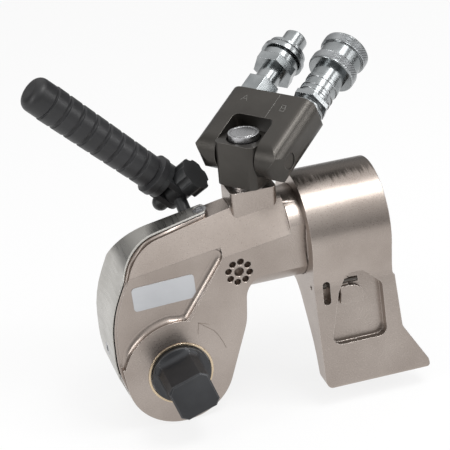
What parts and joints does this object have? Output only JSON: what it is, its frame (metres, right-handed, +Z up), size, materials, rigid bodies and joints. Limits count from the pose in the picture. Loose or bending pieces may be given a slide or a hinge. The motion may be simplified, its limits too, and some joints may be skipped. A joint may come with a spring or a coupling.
{
  "type": "hydraulic torque wrench",
  "caption": "Square-drive hydraulic torque wrench with ratchet head, splined slide-on reaction arm, twin-coupler swivel and tilting positioning handle.",
  "frame": {"origin": "centre of the square drive axis in the middle plane of the housing", "axes": "+X along the cylinder towards the reaction arm, +Z up towards the swivel, -Y out of the square drive"},
  "size_m": [0.2145, 0.1292, 0.2118],
  "materials": {
    "housing_steel": "satin nickel-plated steel",
    "shroud_steel": "brushed",
    "plain_steel": "machined",
    "black_oxide": "black oxide, satin",
    "swivel_black": "dark phosphate, satin",
    "zinc": "bright zinc plate",
    "bronze": "satin",
    "seal_rubber": "matte",
    "grip_rubber": "semi-matte",
    "black_plastic": "moulded"
  },
  "bodies": {
    "root": {"housing": "housing_steel", "end_cap": "plain_steel", "end_cap_seal": "seal_rubber", "rod_seal": "seal_rubber", "bush_front": "bronze", "bush_back": "bronze", "shroud": "shroud_steel", "shroud_screws": "plain_steel", "manifold_block": "housing_steel", "swivel_post": "plain_steel", "swivel_cap": "plain_steel", "swivel_circlip": "plain_steel", "handle_eye_bolt": "black_oxide"},
    "drive": {"ratchet_wheel": "plain_steel", "square_drive": "black_oxide", "drive_retainer": "black_oxide"},
    "button": {"release_button": "plain_steel"},
    "lever": {"drive_plates": "plain_steel", "pawl_pin": "plain_steel", "rod_pin": "plain_steel"},
    "pawl": {"drive_pawl": "plain_steel"},
    "ram": {"piston_rod": "plain_steel", "piston": "plain_steel", "piston_seal": "seal_rubber", "piston_nut": "plain_steel"},
    "swivel": {"swivel_block": "swivel_black", "tilt_pins": "plain_steel"},
    "fork": {"fork_manifold": "swivel_black", "coupler_washers": "zinc", "advance_nipple": "zinc", "advance_coupler": "zinc", "retract_adapter": "zinc", "retract_body": "zinc"},
    "sleeve": {"retract_sleeve": "zinc"},
    "advance_valve": {"advance_poppet": "plain_steel"},
    "retract_valve": {"retract_poppet": "plain_steel"},
    "arm": {"reaction_arm": "housing_steel", "lever_pin": "plain_steel", "lever_spring": "plain_steel"},
    "lock": {"lock_lever": "plain_steel"},
    "handle": {"handle_base": "black_plastic", "handle_core": "plain_steel", "handle_grip": "grip_rubber", "handle_stud": "plain_steel"},
    "knob": {"handle_knob": "black_plastic"}
  },
  "joints": [
    {"name": "lever_swing", "type": "hinge", "parent": "root", "child": "lever", "pos_m": [0, 0, 0], "axis": [0, -1, 0], "range_deg": [0, 20]},
    {"name": "piston_slide", "type": "slide", "parent": "root", "child": "ram", "axis": [-1, 0, 0], "range_m": [0, 0.0232]},
    {"name": "pawl_lift", "type": "slide", "parent": "lever", "child": "pawl", "axis": [0.2504, 0, 0.9681], "range_m": [0, 0.0018], "stiffness_N_per_m": 400},
    {"name": "drive_spin", "type": "hinge", "parent": "root", "child": "drive", "pos_m": [0, 0, 0], "axis": [0, -1, 0], "continuous": true},
    {"name": "button_press", "type": "slide", "parent": "drive", "child": "button", "axis": [0, -1, 0], "range_m": [0, 0.0025], "stiffness_N_per_m": 400},
    {"name": "swivel_turn", "type": "hinge", "parent": "root", "child": "swivel", "pos_m": [0.0575, 0, 0.12195], "axis": [0, 0, 1], "range_deg": [-110, 60]},
    {"name": "fork_tilt", "type": "hinge", "parent": "swivel", "child": "fork", "pos_m": [0.05868, 0.00092, 0.12195], "axis": [0.6157, -0.788, 0], "range_deg": [-12, 140]},
    {"name": "sleeve_pull", "type": "slide", "parent": "fork", "child": "sleeve", "axis": [-0.7227, -0.5646, -0.3987], "range_m": [0, 0.003], "stiffness_N_per_m": 3000},
    {"name": "advance_valve_push", "type": "slide", "parent": "fork", "child": "advance_valve", "axis": [-0.7227, -0.5646, -0.3987], "range_m": [0, 0.002], "stiffness_N_per_m": 800},
    {"name": "retract_valve_push", "type": "slide", "parent": "fork", "child": "retract_valve", "axis": [-0.7227, -0.5646, -0.3987], "range_m": [0, 0.002], "stiffness_N_per_m": 800},
    {"name": "arm_slide", "type": "slide", "parent": "root", "child": "arm", "axis": [1, 0, 0], "range_m": [0, 0.06]},
    {"name": "lock_press", "type": "hinge", "parent": "arm", "child": "lock", "pos_m": [0.1034, -0.02767, 0.03991], "axis": [1, 0, 0], "range_deg": [0, 5.5], "stiffness_Nm_per_rad": 0.3},
    {"name": "handle_tilt", "type": "hinge", "parent": "root", "child": "handle", "pos_m": [0.02101, 0.03122, 0.09288], "axis": [-0.6446, 0.418, -0.6401], "range_deg": [0, 60]},
    {"name": "knob_turn", "type": "hinge", "parent": "handle", "child": "knob", "pos_m": [0.02101, 0.03122, 0.09288], "axis": [0.6446, -0.418, 0.6401], "range_deg": [-180, 180]}
  ],
  "couplings": [
    {"joint": "lever_swing", "follows": "piston_slide", "rad_per_m": 15.048}
  ]
}
